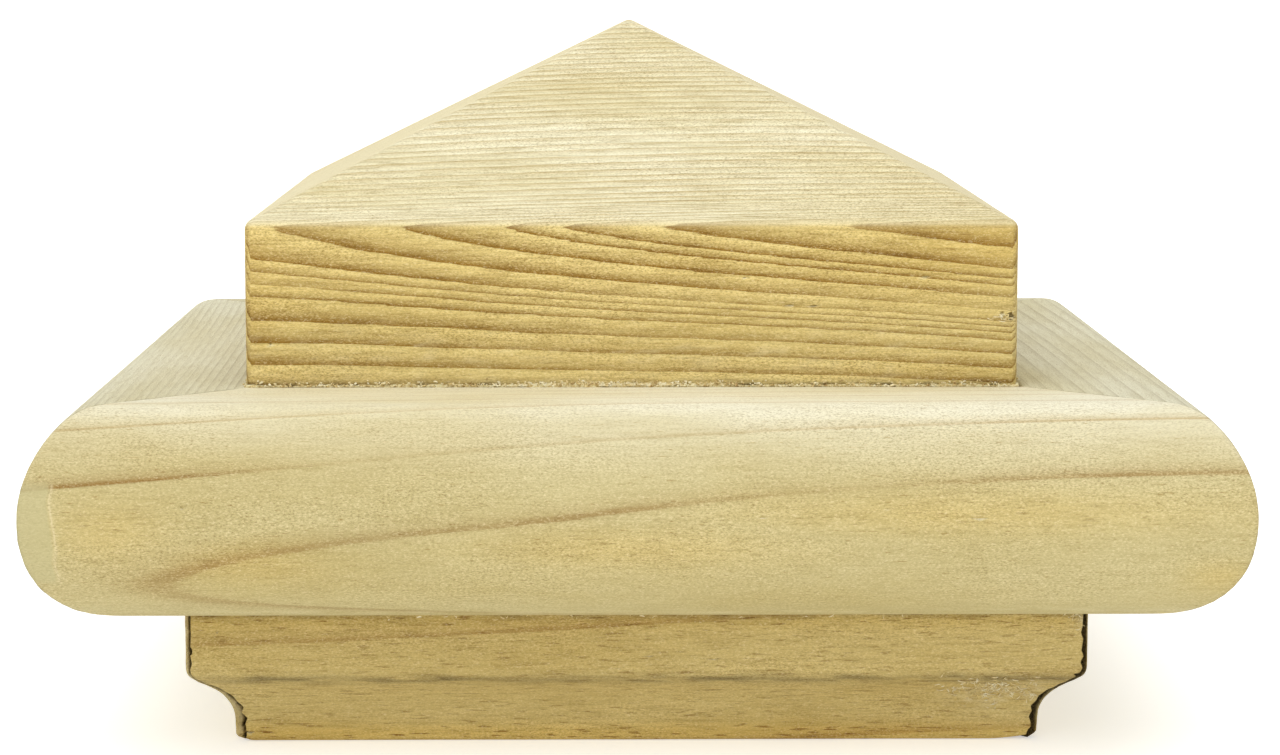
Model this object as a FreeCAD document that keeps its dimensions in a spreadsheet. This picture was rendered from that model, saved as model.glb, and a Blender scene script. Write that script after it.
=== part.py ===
import FreeCAD, Part
import math
import os

import Sketcher

# Timber post cap: a pyramid block wrapped by four mitred mouldings, glued and bradded together.
# Frame: millimetres, +Z up, origin at the centre of the bottom rim, front moulding towards -Y.

DIMENSIONS = [
    ("opening", 92.0, "square socket and block, side"),
    ("socket_depth", 19.0, "rim to underside of block"),
    ("eave_height", 62.1, "rim to foot of the pyramid"),
    ("apex_height", 85.4, "rim to point of the pyramid"),
    ("block_arris", 0.8, "rounding of the block's upright edges"),
    ("nose_projection", 24.25, "block face to widest line of nose"),
    ("nose_bottom", 17.55, "rim to underside of nose"),
    ("nose_thickness", 25.0, "one inch board"),
    ("nose_top_radius", 6.0, "nose, where it leaves the top flat"),
    ("nose_upper_radius", 15.0, "nose, above its widest line"),
    ("nose_lower_radius", 17.0, "nose, below its widest line"),
    ("nose_bottom_radius", 11.0, "nose, where it meets the underside"),
    ("band_projection", 7.4, "block face to step band"),
    ("band_bottom", 9.8, "rim to foot of step band"),
    ("band_radius", 1.6, "rounding at foot of step band"),
    ("cove_slope", 36.0, "slope of the cove's upper end, degrees"),
    ("cove_radius", 5.4, "hollow of the cove"),
    ("lip_thickness", 2.15, "wall at the rim"),
    ("brad_length", 32.0, "18 gauge brad"),
    ("brad_width", 1.25, "shank, across"),
    ("brad_thickness", 1.0, "shank, wire thickness"),
    ("brad_head_width", 2.0, "head, across"),
    ("brad_head_depth", 0.8, "head, along the brad"),
    ("brad_point", 1.5, "length of the chisel point"),
    ("brad_setting", 1.0, "head below the wood's surface"),
    ("mitre_brad_inset", 8.25, "mitre brad to the cap's widest line, along the side"),
    ("mitre_brad_depth", 1.6, "mitre brad's head behind the cap's widest line"),
    ("mitre_brad_pitch", 10.0, "between the two brads of a mitre"),
    ("block_brad_inset", 4.1, "block brad's mouth to the step band"),
    ("block_brad_pitch", 50.0, "between the two brads of a moulding"),
    ("block_brad_angle", 45.0, "block brad above level, degrees"),
]

# How far cutting shapes reach past the wood, so that no two faces coincide.
OVERCUT = 3.0

START, END, CENTRE = 1, 2, 3
ORIGIN = (-1, 1)


def make_sheet(doc):
    """Put the driving dimensions in a sheet and return it."""
    sheet = doc.addObject("Spreadsheet::Sheet", "dims")
    for row, (alias, value, note) in enumerate(DIMENSIONS, start=1):
        sheet.set(f"A{row}", note)
        sheet.set(f"B{row}", str(value))
        sheet.setAlias(f"B{row}", alias)
    doc.recompute()
    return sheet


def origin_feature(body, role):
    """Find one of the body's own planes or axes."""
    return next(item for item in body.Origin.OriginFeatures if item.Role == role)


def new_sketch(body, name, plane):
    sketch = body.newObject("Sketcher::SketchObject", name)
    sketch.AttachmentSupport = [(origin_feature(body, plane), "")]
    sketch.MapMode = "FlatFace"
    return sketch


def add_polygon(sketch, points):
    """Draw a closed run of straight lines through the points and return its line numbers."""
    lines = []
    for start, end in zip(points, points[1:] + points[:1]):
        lines.append(sketch.addGeometry(Part.LineSegment(start, end)))
    for line, following in zip(lines, lines[1:] + lines[:1]):
        sketch.addConstraint(Sketcher.Constraint("Coincident", line, END, following, START))
    return lines


def add_arc(sketch, centre, radius, from_degrees, to_degrees):
    circle = Part.Circle(centre, FreeCAD.Vector(0, 0, 1), radius)
    arc = Part.ArcOfCircle(circle, math.radians(from_degrees), math.radians(to_degrees))
    return sketch.addGeometry(arc)


def locate(sketch, point, across, up):
    """Fix a point of the sketch at two sheet expressions measured from the sketch's origin."""
    geometry, end = point
    x, y = sketch.getPoint(geometry, end).x, sketch.getPoint(geometry, end).y
    for kind, value, expression in (("DistanceX", x, across), ("DistanceY", y, up)):
        if expression is None:
            continue
        index = sketch.addConstraint(Sketcher.Constraint(kind, *ORIGIN, geometry, end, value))
        sketch.setExpression(f"Constraints[{index}]", expression)


def measure(sketch, kind, geometry, value, expression):
    """Add a one-piece dimension, such as Radius or Angle, bound to the sheet."""
    index = sketch.addConstraint(Sketcher.Constraint(kind, geometry, value))
    sketch.setExpression(f"Constraints[{index}]", expression)


def draw_moulding_profile(sketch, sheet):
    """Nose, step band, cove and lip, with the flat back on the block's face.

    Across is the distance from the cap's centre, up is the height above the rim.
    """
    back = sheet.opening / 2
    top = sheet.nose_bottom + sheet.nose_thickness
    middle = sheet.nose_bottom + sheet.nose_thickness / 2
    widest = back + sheet.nose_projection
    band = back + sheet.band_projection
    lip = back + sheet.lip_thickness

    def nose_half(edge_height, side_radius, edge_radius):
        """Centres of a nose half's two arcs, and the angle at which they meet."""
        side_centre = FreeCAD.Vector(widest - side_radius, middle)
        rise = abs(edge_height - middle) - edge_radius
        angle = math.asin(rise / (side_radius - edge_radius))
        reach = (side_radius - edge_radius) * math.cos(angle)
        sign = math.copysign(1, edge_height - middle)
        edge_centre = side_centre + FreeCAD.Vector(reach, sign * rise)
        return side_centre, edge_centre, math.degrees(angle)

    upper_centre, top_centre, top_angle = nose_half(
        top, sheet.nose_upper_radius, sheet.nose_top_radius)
    lower_centre, bottom_centre, bottom_angle = nose_half(
        sheet.nose_bottom, sheet.nose_lower_radius, sheet.nose_bottom_radius)

    # The band's rounding turns into the cove's slope, which runs on into the hollow of the cove.
    slope = math.radians(sheet.cove_slope)
    normal = FreeCAD.Vector(math.sin(slope), -math.cos(slope))
    round_centre = FreeCAD.Vector(band - sheet.band_radius, sheet.band_bottom)
    slope_start = round_centre + normal * sheet.band_radius
    hollow_x = lip + sheet.cove_radius
    slope_end_x = hollow_x - sheet.cove_radius * normal.x
    slope_end = FreeCAD.Vector(
        slope_end_x, slope_start.y - (slope_start.x - slope_end_x) * math.tan(slope))
    hollow_centre = slope_end + normal * sheet.cove_radius

    point = FreeCAD.Vector
    flat_back = sketch.addGeometry(Part.LineSegment(point(back, 0), point(back, top)))
    flat_top = sketch.addGeometry(Part.LineSegment(point(back, top), point(top_centre.x, top)))
    top_arc = add_arc(sketch, top_centre, sheet.nose_top_radius, top_angle, 90)
    upper_arc = add_arc(sketch, upper_centre, sheet.nose_upper_radius, 0, top_angle)
    lower_arc = add_arc(sketch, lower_centre, sheet.nose_lower_radius, -bottom_angle, 0)
    bottom_arc = add_arc(sketch, bottom_centre, sheet.nose_bottom_radius, -90, -bottom_angle)
    underside = sketch.addGeometry(Part.LineSegment(
        point(bottom_centre.x, sheet.nose_bottom), point(band, sheet.nose_bottom)))
    band_face = sketch.addGeometry(Part.LineSegment(
        point(band, sheet.nose_bottom), point(band, sheet.band_bottom)))
    band_arc = add_arc(
        sketch, round_centre, sheet.band_radius, sheet.cove_slope - 90, 0)
    slope_line = sketch.addGeometry(Part.LineSegment(slope_start, slope_end))
    hollow_arc = add_arc(
        sketch, hollow_centre, sheet.cove_radius, sheet.cove_slope + 90, 180)
    lip_face = sketch.addGeometry(Part.LineSegment(point(lip, hollow_centre.y), point(lip, 0)))
    rim = sketch.addGeometry(Part.LineSegment(point(lip, 0), point(back, 0)))

    corners = [
        (flat_back, END, flat_top, START), (underside, END, band_face, START),
        (lip_face, END, rim, START), (rim, END, flat_back, START),
    ]
    smooth = [
        (flat_top, END, top_arc, END), (top_arc, START, upper_arc, END),
        (upper_arc, START, lower_arc, END), (lower_arc, START, bottom_arc, END),
        (bottom_arc, START, underside, START), (band_face, END, band_arc, END),
        (band_arc, START, slope_line, START), (slope_line, END, hollow_arc, START),
        (hollow_arc, END, lip_face, START),
    ]
    for joint in corners:
        sketch.addConstraint(Sketcher.Constraint("Coincident", *joint))
    for joint in smooth:
        sketch.addConstraint(Sketcher.Constraint("Tangent", *joint))
    for line in (flat_top, underside, rim):
        sketch.addConstraint(Sketcher.Constraint("Horizontal", line))
    for line in (flat_back, band_face, lip_face):
        sketch.addConstraint(Sketcher.Constraint("Vertical", line))

    locate(sketch, (rim, END), "dims.opening / 2", "0")
    locate(sketch, (flat_top, START), None, "dims.nose_bottom + dims.nose_thickness")
    locate(sketch, (upper_arc, START), "dims.opening / 2 + dims.nose_projection",
           "dims.nose_bottom + dims.nose_thickness / 2")
    locate(sketch, (upper_arc, CENTRE), None, "dims.nose_bottom + dims.nose_thickness / 2")
    locate(sketch, (band_face, START), "dims.opening / 2 + dims.band_projection",
           "dims.nose_bottom")
    locate(sketch, (band_face, END), None, "dims.band_bottom")
    locate(sketch, (rim, START), "dims.opening / 2 + dims.lip_thickness", None)
    for arc, alias in (
            (top_arc, "nose_top_radius"), (upper_arc, "nose_upper_radius"),
            (lower_arc, "nose_lower_radius"), (bottom_arc, "nose_bottom_radius"),
            (band_arc, "band_radius"), (hollow_arc, "cove_radius")):
        measure(sketch, "Radius", arc, getattr(sheet, alias), f"dims.{alias}")
    measure(sketch, "Angle", slope_line, slope - math.pi, "(dims.cove_slope - 180) * 1 deg")


def make_moulding(doc, sheet, name, turn):
    """One moulding, cut to length by a 45 degree mitre at each end, turned to its side."""
    body = doc.addObject("PartDesign::Body", name + "_blank")
    profile = new_sketch(body, name + "_profile", "XZ_Plane")
    draw_moulding_profile(profile, sheet)
    length = body.newObject("PartDesign::Pad", name + "_length")
    length.Profile = profile
    length.SideType = "Symmetric"
    length.setExpression("Length", "dims.opening + 2 * dims.nose_projection")

    inner = sheet.opening / 2 - OVERCUT
    outer = sheet.opening / 2 + sheet.nose_projection + OVERCUT
    waste = new_sketch(body, name + "_waste", "XY_Plane")
    mitre_line, _, _ = add_polygon(waste, [
        FreeCAD.Vector(inner, inner), FreeCAD.Vector(outer, outer), FreeCAD.Vector(inner, outer)])
    inner_expression = f"dims.opening / 2 - {OVERCUT}"
    outer_expression = f"dims.opening / 2 + dims.nose_projection + {OVERCUT}"
    locate(waste, (mitre_line, START), inner_expression, inner_expression)
    locate(waste, (mitre_line, END), outer_expression, outer_expression)
    locate(waste, (mitre_line + 1, END), inner_expression, outer_expression)
    mitre = body.newObject("PartDesign::Pocket", name + "_mitre")
    mitre.Profile = waste
    mitre.Type = "ThroughAll"
    mitre.SideType = "Symmetric"
    other_mitre = body.newObject("PartDesign::Mirrored", name + "_other_mitre")
    other_mitre.Originals = [mitre]
    other_mitre.MirrorPlane = (origin_feature(body, "XZ_Plane"), [""])
    body.Tip = other_mitre
    body.Placement = FreeCAD.Placement(
        FreeCAD.Vector(0, 0, 0), FreeCAD.Rotation(FreeCAD.Vector(0, 0, 1), turn))
    return body


def make_block(doc, sheet):
    """The square block, sawn to a four-sided pyramid above its eave."""
    half = sheet.opening / 2
    body = doc.addObject("PartDesign::Body", "pyramid_blank")
    square = new_sketch(body, "block_square", "XY_Plane")
    bottom, right, top, left = add_polygon(square, [
        FreeCAD.Vector(-half, -half), FreeCAD.Vector(half, -half),
        FreeCAD.Vector(half, half), FreeCAD.Vector(-half, half)])
    for line in (bottom, top):
        square.addConstraint(Sketcher.Constraint("Horizontal", line))
    for line in (right, left):
        square.addConstraint(Sketcher.Constraint("Vertical", line))
    locate(square, (bottom, START), "-dims.opening / 2", "-dims.opening / 2")
    locate(square, (top, START), "dims.opening / 2", "dims.opening / 2")
    square.setExpression("AttachmentOffset.Base.z", "dims.socket_depth")
    height = body.newObject("PartDesign::Pad", "block_height")
    height.Profile = square
    height.setExpression("Length", "dims.apex_height - dims.socket_depth")
    doc.recompute()

    upright = [
        f"Edge{number}" for number, edge in enumerate(height.Shape.Edges, start=1)
        if abs(edge.tangentAt(edge.FirstParameter).z) > 0.99]
    arris = body.newObject("PartDesign::Fillet", "block_arris")
    arris.Base = (height, upright)
    arris.setExpression("Radius", "dims.block_arris")

    rise = sheet.apex_height - sheet.eave_height
    waste = new_sketch(body, "slope_waste", "XZ_Plane")
    drop = OVERCUT * rise / half
    slope, _, _ = add_polygon(waste, [
        FreeCAD.Vector(0, sheet.apex_height),
        FreeCAD.Vector(half + OVERCUT, sheet.eave_height - drop),
        FreeCAD.Vector(half + OVERCUT, sheet.apex_height)])
    locate(waste, (slope, START), "0", "dims.apex_height")
    fall = "(dims.apex_height - dims.eave_height) * 2 / dims.opening"
    locate(waste, (slope, END), f"dims.opening / 2 + {OVERCUT}",
           f"dims.eave_height - {OVERCUT} * {fall}")
    locate(waste, (slope + 1, END), f"dims.opening / 2 + {OVERCUT}", "dims.apex_height")
    cut = body.newObject("PartDesign::Pocket", "slope_cut")
    cut.Profile = waste
    cut.Type = "ThroughAll"
    cut.SideType = "Symmetric"
    slopes = body.newObject("PartDesign::PolarPattern", "four_slopes")
    slopes.Originals = [cut]
    slopes.Axis = (origin_feature(body, "Z_Axis"), [""])
    slopes.Occurrences = 4
    body.Tip = slopes
    return body


def draw_brad(sketch, sheet, bore):
    """A brad pointing down the sketch, with the middle of its head's top at the origin.

    With bore set, the outline also takes in the hole that the driver leaves above the head.
    """
    head = sheet.brad_head_width / 2
    shank = sheet.brad_width / 2
    above = sheet.brad_setting + OVERCUT if bore else 0.0
    shoulder = -sheet.brad_head_depth
    cheek = sheet.brad_point - sheet.brad_length
    above_expression = f"dims.brad_setting + {OVERCUT}" if bore else "0"
    outline = [
        ("dims.brad_head_width / 2", above_expression, head, above),
        ("dims.brad_head_width / 2", "-dims.brad_head_depth", head, shoulder),
        ("dims.brad_width / 2", "-dims.brad_head_depth", shank, shoulder),
        ("dims.brad_width / 2", "dims.brad_point - dims.brad_length", shank, cheek),
        ("0", "-dims.brad_length", 0.0, -sheet.brad_length),
        ("-dims.brad_width / 2", "dims.brad_point - dims.brad_length", -shank, cheek),
        ("-dims.brad_width / 2", "-dims.brad_head_depth", -shank, shoulder),
        ("-dims.brad_head_width / 2", "-dims.brad_head_depth", -head, shoulder),
        ("-dims.brad_head_width / 2", above_expression, -head, above),
    ]
    lines = add_polygon(sketch, [FreeCAD.Vector(x, y) for _, _, x, y in outline])
    for line, (across, up, _, _) in zip(lines, outline):
        locate(sketch, (line, START), across, up)


def make_brads(doc, sheet, name, bore, across, up, along, turn, patterns):
    """Eight brads in one body: the first one placed by expressions, the rest patterned from it.

    The brad lies in a plane parallel to XZ. Across and up place its head, along is its distance
    from the XZ plane and turn swings it from pointing straight down.
    """
    body = doc.addObject("PartDesign::Body", name)
    body.AllowCompound = True
    sketch = new_sketch(body, name + "_outline", "XZ_Plane")
    draw_brad(sketch, sheet, bore)
    sketch.AttachmentOffset = FreeCAD.Placement(
        FreeCAD.Vector(0, 0, 0), FreeCAD.Rotation(FreeCAD.Vector(0, 0, 1), turn))
    for axis, expression in (("x", across), ("y", up), ("z", along)):
        sketch.setExpression(f"AttachmentOffset.Base.{axis}", expression)
    wire = body.newObject("PartDesign::Pad", name + "_wire")
    wire.Profile = sketch
    wire.SideType = "Symmetric"
    wire.setExpression("Length", "dims.brad_thickness")
    doc.recompute()

    group = body.newObject("PartDesign::MultiTransform", name + "_all")
    group.Originals = [wire]
    steps = [add_pattern(body, f"{name}_{kind}_{role}", kind, role) for kind, role in patterns]
    group.Transformations = steps
    body.Tip = group
    return body


def add_pattern(body, name, kind, role):
    """One step of a brad pattern: a mirror about a plane, four turns, or a pair one above another."""
    step = body.newObject("PartDesign::" + kind, name)
    reference = (origin_feature(body, role), [""])
    if kind == "Mirrored":
        step.MirrorPlane = reference
    elif kind == "PolarPattern":
        step.Axis = reference
        step.Occurrences = 4
    else:
        step.Direction = reference
        step.Occurrences = 2
        step.setExpression("Length", "dims.mitre_brad_pitch")
    return step


def make_mitre_brads(doc, sheet, name, bore):
    """Two level brads a mitre, driven through the side mouldings into the ends of the front and back."""
    return make_brads(
        doc, sheet, name, bore,
        across="dims.opening / 2 + dims.nose_projection - dims.mitre_brad_depth",
        up="dims.nose_bottom + (dims.nose_thickness - dims.mitre_brad_pitch) / 2",
        along="dims.opening / 2 + dims.nose_projection - dims.mitre_brad_inset",
        turn=-90,
        patterns=[("LinearPattern", "Z_Axis"), ("Mirrored", "XZ_Plane"), ("Mirrored", "YZ_Plane")])


def make_block_brads(doc, sheet, name, bore):
    """Two brads a moulding, toed up through the underside of the nose into the block."""
    setting = "dims.brad_setting * {}(dims.block_brad_angle * 1 deg)"
    return make_brads(
        doc, sheet, name, bore,
        across="dims.opening / 2 + dims.band_projection + dims.block_brad_inset - "
               + setting.format("cos"),
        up="dims.nose_bottom + " + setting.format("sin"),
        along="dims.block_brad_pitch / 2",
        turn=-90 - sheet.block_brad_angle,
        patterns=[("Mirrored", "XZ_Plane"), ("PolarPattern", "Z_Axis")])


def bore_out(doc, label, blank, *bores):
    """Cut the brads' holes out of a blank, and label the result as the finished sub-part."""
    tool = bores[0]
    if len(bores) > 1:
        tool = doc.addObject("Part::Compound", label + "_bores")
        tool.Links = list(bores)
    finished = doc.addObject("Part::Cut", label)
    finished.Base = blank
    finished.Tool = tool
    finished.Label = label
    finished.Placement = FreeCAD.Placement()
    return finished


def check(doc, parts, solids):
    """Stop with a message unless every object is sound and each sub-part has its solids."""
    for item in doc.Objects:
        if {"Invalid", "Error"} & set(item.State):
            raise RuntimeError(f"{item.Label} did not recompute: {item.State}")
        if item.TypeId == "Sketcher::SketchObject" and not item.FullyConstrained:
            raise RuntimeError(f"{item.Label} is not fully constrained")
    for part in parts:
        shape = part.Shape
        if shape.isNull() or not shape.isValid():
            raise RuntimeError(f"{part.Label} has no valid shape")
        if len(shape.Solids) != solids[part.Label]:
            raise RuntimeError(f"{part.Label} has {len(shape.Solids)} solids")


def main():
    doc = FreeCAD.newDocument("post_cap")
    sheet = make_sheet(doc)

    mitre_brads = make_mitre_brads(doc, sheet, "mitre_brads", bore=False)
    block_brads = make_block_brads(doc, sheet, "block_brads", bore=False)
    mitre_bores = make_mitre_brads(doc, sheet, "mitre_bores", bore=True)
    block_bores = make_block_brads(doc, sheet, "block_bores", bore=True)

    parts = [bore_out(doc, "pyramid_block", make_block(doc, sheet), block_bores)]
    sides = (("right", 0), ("back", 90), ("left", 180), ("front", 270))
    for side, turn in sides:
        label = side + "_moulding"
        blank = make_moulding(doc, sheet, label, turn)
        parts.append(bore_out(doc, label, blank, mitre_bores, block_bores))
    parts += [mitre_brads, block_brads]
    doc.recompute()

    solids = {part.Label: 1 for part in parts}
    solids["mitre_brads"] = 8
    solids["block_brads"] = 8
    check(doc, parts, solids)

    os.makedirs("parts", exist_ok=True)
    for part in parts:
        part.Shape.exportStep(f"parts/{part.Label}.step")
        print(part.Label, len(part.Shape.Solids), "solids", round(part.Shape.Volume / 1000, 2), "cm3")


main()
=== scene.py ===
"""Looks of the timber post cap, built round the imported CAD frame. Metres, +Z up, front towards -Y."""
import math

import bmesh
import bpy
import numpy as np
from mathutils import Matrix, Vector
from mathutils.geometry import tessellate_polygon


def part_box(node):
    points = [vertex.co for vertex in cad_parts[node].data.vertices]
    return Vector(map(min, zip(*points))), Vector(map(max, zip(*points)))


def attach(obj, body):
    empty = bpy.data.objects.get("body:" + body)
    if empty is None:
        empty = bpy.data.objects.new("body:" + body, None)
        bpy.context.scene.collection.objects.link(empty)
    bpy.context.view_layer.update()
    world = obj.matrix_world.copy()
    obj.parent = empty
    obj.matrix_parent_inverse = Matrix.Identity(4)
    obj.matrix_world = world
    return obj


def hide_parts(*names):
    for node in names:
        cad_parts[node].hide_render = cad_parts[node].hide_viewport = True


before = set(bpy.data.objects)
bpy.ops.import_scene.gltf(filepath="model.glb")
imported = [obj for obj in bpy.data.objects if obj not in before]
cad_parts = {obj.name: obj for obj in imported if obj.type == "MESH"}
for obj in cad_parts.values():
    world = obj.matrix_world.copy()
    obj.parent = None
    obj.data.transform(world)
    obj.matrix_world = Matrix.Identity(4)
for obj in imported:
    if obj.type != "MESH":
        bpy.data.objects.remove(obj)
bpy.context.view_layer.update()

MM = 0.001


# ---------- sizes and places

# Read from the frame: half the block's width, the height where its slope starts, and the top of the
# mouldings, which is the foot of the block's sides.
BLOCK_LOW, BLOCK_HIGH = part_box("pyramid_block")
HALF = BLOCK_HIGH.x
EAVE = max(v.co.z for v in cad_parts["pyramid_block"].data.vertices if HALF - abs(v.co.x) < 0.01 * MM)
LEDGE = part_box("front_moulding")[1].z

BLOCK_SHIFT = -0.55 * MM    # how far the block stands off centre
BLOCK_ARRIS = 0.5 * MM      # rounding of the block's edges
SOFT_ARRIS = 0.35 * MM      # rounding of the mouldings' edges
SECTION_STEP = 0.36 * MM    # spacing of the points round a moulding's section
STATIONS = 130              # how many sections a moulding is swept through
BLOCK_STEP = 0.4 * MM       # spacing of the block's level squares
BLOCK_POINTS = 84           # points along a side of each square
RELIEF = 0.014 * MM         # how far hard latewood stands proud
SKIRT_TOP = 17.2 * MM       # height where the skirt ends, under the nose
BAND_LIMIT = 53.9 * MM      # the skirt's surface is all within this distance of the middle
CRACK_DEPTH = 1.1 * MM      # how deep the open mitres are
SPLINTERS = 1500            # how many crumbs and splinters of sawdust there are
TINY = 1e-5 * MM            # points closer than this are one point

# The two ends of a punch hole: height over the brad's head, and radius, in millimetres.
HOLE_ENDS = ((-0.1, 1.15), (3.5, 1.5))
HOLE_SIDES = 12

# Where a mitre face is cut into cells: outwards from the middle of the cap, and upwards, in millimetres.
CELLS_OUTWARDS = np.arange(46.4, 53.4, 0.18)
CELLS_UPWARDS = np.arange(0.25, 17.4, 0.3)

# Extra stations of the front moulding, close together where the glue smear ends.
SMEAR_STATIONS = -np.linspace(0.925, 0.985, 24)

# A flared stick's rings close up along the grain towards the one at this radius.
FLARE_START = 38 * MM

# How many rings are added before and after a stick's known ones.
RINGS_BEFORE, RINGS_AFTER = 60, 79

# For each side piece that meets the front: which of its ends does, and how wide a strip of its mitre
# shows outside the crack at the rim and at the band, in millimetres.
OPEN_MITRES = {"left": (1, 0.95, 0.42), "right": (-1, 0.10, 0.07)}

# How dark each moulding's left and right mitres are: partly dirt in the joint, and partly painted shade
# where it stands open.
DARK_MITRES = {"front": (0.25, 0.25), "right": (0.5, 0.5), "back": (0.5, 0.5), "left": (0.5, 0.2)}

# Dents and chips, as the centre and the reach along each axis, in millimetres. They lie on the nose, on
# the band below it and on the block's front, which are this far forward.
ON_NOSE, ON_BAND, ON_BLOCK = -70.25, -53.45, -46.05
FRONT_DENTS = [
    ((-51.5, ON_NOSE, 31.8), (0.3, 0.25, 0.22)), ((-46.6, ON_NOSE, 32.3), (0.4, 0.2, 0.18)),
    ((-59.6, ON_NOSE + 0.8, 36.2), (1.1, 0.15, 0.13)), ((-2.1, ON_BAND, 9.9), (0.4, 0.15, 0.15)),
    ((1.5, ON_BAND, 11.4), (0.5, 0.15, 0.13)), ((9.1, ON_BAND, 11.0), (0.5, 0.15, 0.13)),
    ((-49.6, ON_BAND, 14.4), (0.2, 0.15, 0.15)), ((38.5, ON_NOSE - 0.05, 30.5), (0.8, 0.2, 0.13)),
    ((28.0, ON_NOSE - 0.05, 31.5), (0.9, 0.18, 0.12)), ((14.0, ON_NOSE - 0.05, 30.6), (0.7, 0.18, 0.12)),
    ((52.6, -53.0, 8.9), (0.8, 1.2, 0.3)), ((53.0, -53.2, 17.2), (0.6, 0.6, 0.3)),
    ((-52.8, -53.3, 12.0), (0.3, 0.5, 0.5)), ((-46.4, -48.2, 1.1), (0.6, 0.5, 0.13)),
]
BLOCK_CHIPS = [
    ((45.1, ON_BLOCK - 0.05, 50.95), (0.45, 0.8, 0.5)), ((44.1, ON_BLOCK - 0.05, 51.3), (0.3, 0.25, 0.2)),
    ((-43.0, ON_BLOCK, 47.7), (0.16, 0.2, 0.12)), ((18.8, ON_BLOCK, 52.3), (0.5, 0.2, 0.1)),
    ((21.6, ON_BLOCK, 52.2), (0.5, 0.2, 0.12)), ((34.9, ON_BLOCK, 55.7), (0.45, 0.2, 0.13)),
    ((13.4, ON_BLOCK, 55.6), (0.25, 0.15, 0.1)), ((45.9, -45.9, 57.0), (0.2, 0.3, 0.25)),
]

# Golden patches on the nose, given in the same way.
FRONT_PATCHES = [
    ((-60, -70, 29), (7, 5, 3.5)), ((-44, -70, 25), (9, 5, 2.5)), ((66, -69, 23.5), (4, 5, 2)),
    ((40, -70, 31), (30, 5, 2.6)), ((0, -70, 27), (18, 5, 2.5)),
]

# Torn fibre: how many fibres, their centre, spread and length in millimetres, and whether they lie on the
# outside of the skirt.
FIBRE_PATCHES = [
    (260, (42.6, -50.3, 6.6), (2.9, 1.0, 0.8), 1.1, True),
    (24, (51.6, -53.5, 15.9), (0.5, 0.05, 0.6), 0.8, False),
    (26, (44.2 + BLOCK_SHIFT / MM, ON_BLOCK, 50.9), (0.6, 0.05, 0.35), 0.8, False),
    (40, (0, -61.5, 17.75), (22, 1.5, 0.08), 0.6, False),
]

# Colours as 0-255 screen values: early and late wood on upright faces, then on faces that look up, painted
# paler as sheen.
BLOCK_COLOURS = [(226, 206, 137), (148, 113, 33), (234, 229, 197), (206, 187, 136)]
FRONT_COLOURS = [(202, 188, 135), (158, 127, 68), (234, 229, 202), (198, 171, 116)]
SIDE_COLOURS = [(210, 200, 154), (160, 136, 88), (219, 215, 187), (182, 172, 138)]
CLOUD_TINT = (240, 234, 214)
DASH_TINT = (168, 138, 84)
FLECK_TINT = (206, 184, 140)
# Cream for bare fibre, and also for painted highlights and bounce light.
BARE_FIBRE_AND_HIGHLIGHT = (240, 228, 186)
# Glue film, and also painted bounce light under the nose.
GLUE_FILM_AND_BOUNCE = (196, 187, 138)
# Dark for dirt, and also for painted shade in cracks, creases and hollows.
DIRT_AND_SHADE = (36, 22, 8)

# Tints that multiply a colour, as linear values.
TAN_TINT = (1.16, 1.0, 0.62)
STREAK_TINT = [(0.3, (0.70, 0.64, 0.52)), (0.5, (1.0, 1.0, 1.0)), (0.70, (1.16, 1.18, 1.26))]
SPECK_TINT = [(0.32, (0.52, 0.43, 0.30)), (0.47, (1.0, 1.0, 1.0)), (0.66, (1.22, 1.22, 1.30))]

# The camera's lens and place, and how far it looks down and turns, in degrees.
CAMERA_LENS = 99.04
CAMERA_PLACE = (-4.1 * MM, -463 * MM, 94.1 * MM)
CAMERA_DOWN, CAMERA_TURN = 6.90, -0.62

FLOOR_REACH = 14.0
FLOOR_GLOW = 0.16
FLOOR_GLOW_SEEN = 0.3
SKY = 0.56


# ---------- noise and growth rings

def hashed(cells, seed):
    """A repeatable number from -1 to 1 for each integer cell."""
    mixed = cells[:, 0] * 73856093 ^ cells[:, 1] * 19349663 ^ cells[:, 2] * 83492791
    mixed = (mixed ^ (seed * 2654435761)) & 0xFFFFFFFF
    mixed = ((mixed ^ (mixed >> 15)) * 2246822519) & 0xFFFFFFFF
    mixed = ((mixed ^ (mixed >> 13)) * 3266489917) & 0xFFFFFFFF
    return ((mixed ^ (mixed >> 16)) & 0xFFFF) / 32767.5 - 1.0


def clamp(values):
    return np.clip(values, 0, 1)


def noise(points, wavelength, seed):
    """Smooth noise from -1 to 1 over points, with a wavelength in millimetres along each axis."""
    scaled = points / (np.array(wavelength) * MM)
    base = np.floor(scaled).astype(np.int64)
    part = scaled - base
    ease = part * part * (3 - 2 * part)
    total = np.zeros(len(points))
    for corner in np.ndindex(2, 2, 2):
        weight = np.prod(np.where(corner, ease, 1 - ease), axis=1)
        total += weight * hashed(base + np.array(corner), seed)
    return total


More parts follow.
